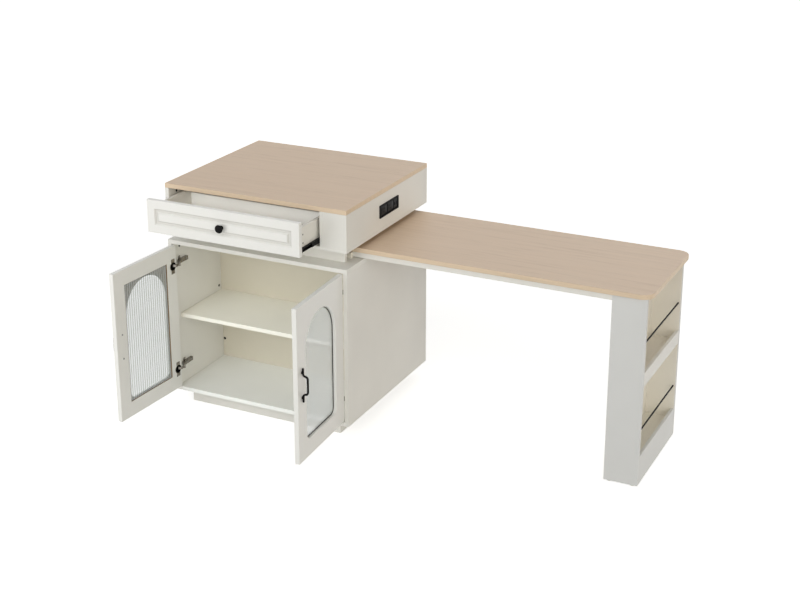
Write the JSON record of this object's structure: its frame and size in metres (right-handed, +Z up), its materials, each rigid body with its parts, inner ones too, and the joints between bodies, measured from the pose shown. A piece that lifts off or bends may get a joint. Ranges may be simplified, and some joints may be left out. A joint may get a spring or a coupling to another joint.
{
  "type": "kitchen island with sliding bar table",
  "caption": "White kitchen island with glass doors, a drawer and a side outlet under a wood top, and a wood bar table on a shelf leg that slides out of it.",
  "frame": {"origin": "on the floor, under the middle of the front plinth board", "axes": "+X right along the front, from the drawer to the table; +Y from the front to the back; +Z up"},
  "size_m": [1.9048, 1.0534, 0.91],
  "materials": {
    "wood_laminate": "satin wood-grain laminate",
    "white_board": "satin white melamine-faced board",
    "inner_board": "satin off-white melamine-faced board",
    "lacquered_front": "routed board under white foil",
    "drawer_board": "satin off-white drawer board",
    "reeded_glass": "clear glass with vertical reeds",
    "black_metal": "matt black powder coat",
    "nickel_steel": "nickel-plated steel",
    "black_slide_steel": "black dip-coated sheet steel",
    "zinc_steel": "bright zinc-plated steel",
    "dark_plastic": "matt dark plastic",
    "slide_plastic": "white nylon"
  },
  "bodies": {
    "cabinet": {"island_top": "wood_laminate", "box_left_side": "white_board", "box_right_side": "white_board", "box_floor": "white_board", "box_partition": "white_board", "box_front_panel": "white_board", "box_back_panel": "white_board", "cabinet_top": "white_board", "cabinet_left_side": "white_board", "cabinet_right_side": "white_board", "cabinet_floor": "white_board", "plinth_front": "white_board", "plinth_back": "white_board", "plinth_sides": "white_board", "pocket_long_spacers": "white_board", "pocket_end_spacer": "white_board", "cupboard_back": "inner_board", "cupboard_shelf": "inner_board", "rear_shelf": "inner_board", "table_guides": "inner_board", "left_hinge_arms": "nickel_steel", "right_hinge_arms": "nickel_steel", "shelf_pins": "nickel_steel", "slide_cabinet_rails": "black_slide_steel", "cam_caps": "zinc_steel", "hinge_plate_screws": "zinc_steel", "outlet_bezel": "dark_plastic", "outlet_inserts": "dark_plastic", "outlet_housing": "dark_plastic"},
    "drawer": {"drawer_front": "lacquered_front", "drawer_left_side": "drawer_board", "drawer_right_side": "drawer_board", "drawer_back": "drawer_board", "drawer_bottom": "drawer_board", "drawer_knob": "black_metal", "slide_drawer_rails": "black_slide_steel", "drawer_screws": "zinc_steel"},
    "slide_middle": {"slide_middle_rails": "black_slide_steel"},
    "left_door": {"left_door_frame": "lacquered_front", "left_door_glass": "reeded_glass", "left_door_handle": "black_metal", "left_handle_screws": "zinc_steel", "left_hinge_cups": "nickel_steel"},
    "right_door": {"right_door_frame": "lacquered_front", "right_door_glass": "reeded_glass", "right_door_handle": "black_metal", "right_handle_screws": "zinc_steel", "right_hinge_cups": "nickel_steel"},
    "left_links": {"left_hinge_links": "nickel_steel"},
    "right_links": {"right_hinge_links": "nickel_steel"},
    "bar_table": {"table_top": "wood_laminate", "table_aprons": "white_board", "table_end_rail": "white_board", "leg_side_panels": "white_board", "leg_inner_panel": "white_board", "leg_shelves": "white_board", "leg_shelf_lip": "white_board", "leg_toe_board": "white_board", "guard_rods": "black_metal", "table_glides": "slide_plastic"}
  },
  "joints": [
    {"name": "drawer_slide", "type": "slide", "parent": "cabinet", "child": "drawer", "axis": [0, -1, 0], "range_m": [-0.144, 0.106]},
    {"name": "middle_slide", "type": "slide", "parent": "cabinet", "child": "slide_middle", "axis": [0, -1, 0], "range_m": [-0.0725, 0.0535]},
    {"name": "table_slide", "type": "slide", "parent": "cabinet", "child": "bar_table", "axis": [1, 0, 0], "range_m": [-0.6, 0]},
    {"name": "left_door_hinge", "type": "hinge", "parent": "cabinet", "child": "left_door", "pos_m": [-0.372, -0.048, 0.371], "axis": [0, 0, -1], "range_deg": [-93, 2]},
    {"name": "right_door_hinge", "type": "hinge", "parent": "cabinet", "child": "right_door", "pos_m": [0.372, -0.048, 0.371], "axis": [0, 0, 1], "range_deg": [-93, 2]},
    {"name": "left_link_hinge", "type": "hinge", "parent": "cabinet", "child": "left_links", "pos_m": [-0.35, -0.035, 0.371], "axis": [0, 0, -1], "range_deg": [-123.26, 3.14]},
    {"name": "right_link_hinge", "type": "hinge", "parent": "cabinet", "child": "right_links", "pos_m": [0.35, -0.035, 0.371], "axis": [0, 0, 1], "range_deg": [-123.26, 3.14]}
  ],
  "couplings": [
    {"joint": "middle_slide", "follows": "drawer_slide", "ratio": 0.5},
    {"joint": "left_link_hinge", "follows": "left_door_hinge", "ratio": 1.32},
    {"joint": "right_link_hinge", "follows": "right_door_hinge", "ratio": 1.32}
  ]
}
